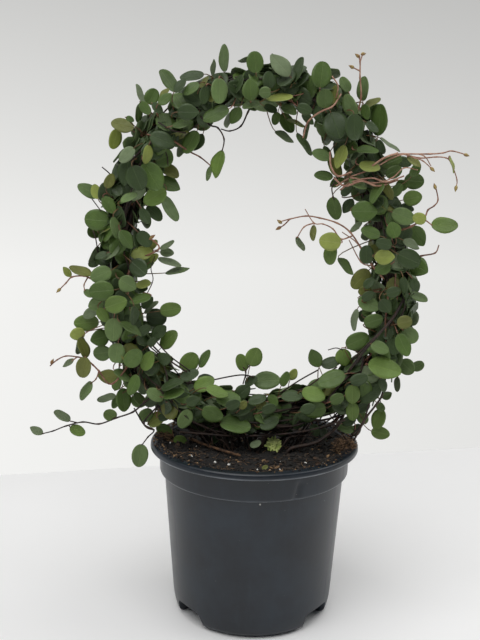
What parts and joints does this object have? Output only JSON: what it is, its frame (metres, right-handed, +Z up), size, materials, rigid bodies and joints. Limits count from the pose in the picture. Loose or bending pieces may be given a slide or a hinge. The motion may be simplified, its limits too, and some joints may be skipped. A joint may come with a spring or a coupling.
{
  "type": "potted wire vine",
  "caption": "Wire vine with small round leaves, trained round an upright wreath hoop in a round nursery pot of potting mix.",
  "frame": {"origin": "centre of the flat hub under the pot, on the surface that the pot stands on", "axes": "+Z up along the pot's axis, -Y towards the front, +X to the right as seen from the front"},
  "size_m": [0.2613, 0.13, 0.3478],
  "materials": {
    "pot_plastic": "soft sheen",
    "potting_mix": "rough, crumbly",
    "hoop_wire": "satin",
    "seedling": "matte",
    "dead_twig": "matte",
    "coir": "fibrous",
    "wreath_foliage": "waxy leaves on wiry stems",
    "young_shoot": "satin"
  },
  "bodies": {
    "root": {"pot": "pot_plastic", "potting_mix": "potting_mix", "support_hoop": "hoop_wire", "seedling": "seedling", "loose_twig": "dead_twig", "coir_tuft_right": "coir", "coir_tuft_left": "coir", "wreath_spray_01": "wreath_foliage", "wreath_spray_02": "wreath_foliage", "wreath_spray_03": "wreath_foliage", "wreath_spray_04": "wreath_foliage", "wreath_spray_05": "wreath_foliage", "wreath_spray_06": "wreath_foliage", "wreath_spray_07": "wreath_foliage", "wreath_spray_08": "wreath_foliage", "wreath_spray_09": "wreath_foliage", "wreath_spray_10": "wreath_foliage", "wreath_spray_11": "wreath_foliage", "wreath_spray_12": "wreath_foliage", "wreath_spray_13": "wreath_foliage", "wreath_spray_14": "wreath_foliage", "wreath_spray_15": "wreath_foliage", "wreath_spray_16": "wreath_foliage", "shoot_right_long": "young_shoot", "shoot_right_budded": "young_shoot", "shoot_right_twig": "young_shoot", "shoot_top_right": "young_shoot", "shoot_inner_right": "young_shoot", "shoot_inner_top": "young_shoot", "shoot_inner_top_loop": "young_shoot", "shoot_inner_left_top": "young_shoot", "shoot_inner_left": "young_shoot", "shoot_left_upper": "young_shoot", "shoot_left_middle": "young_shoot", "shoot_left_long": "young_shoot", "shoot_left_low": "young_shoot"}
  },
  "joints": []
}
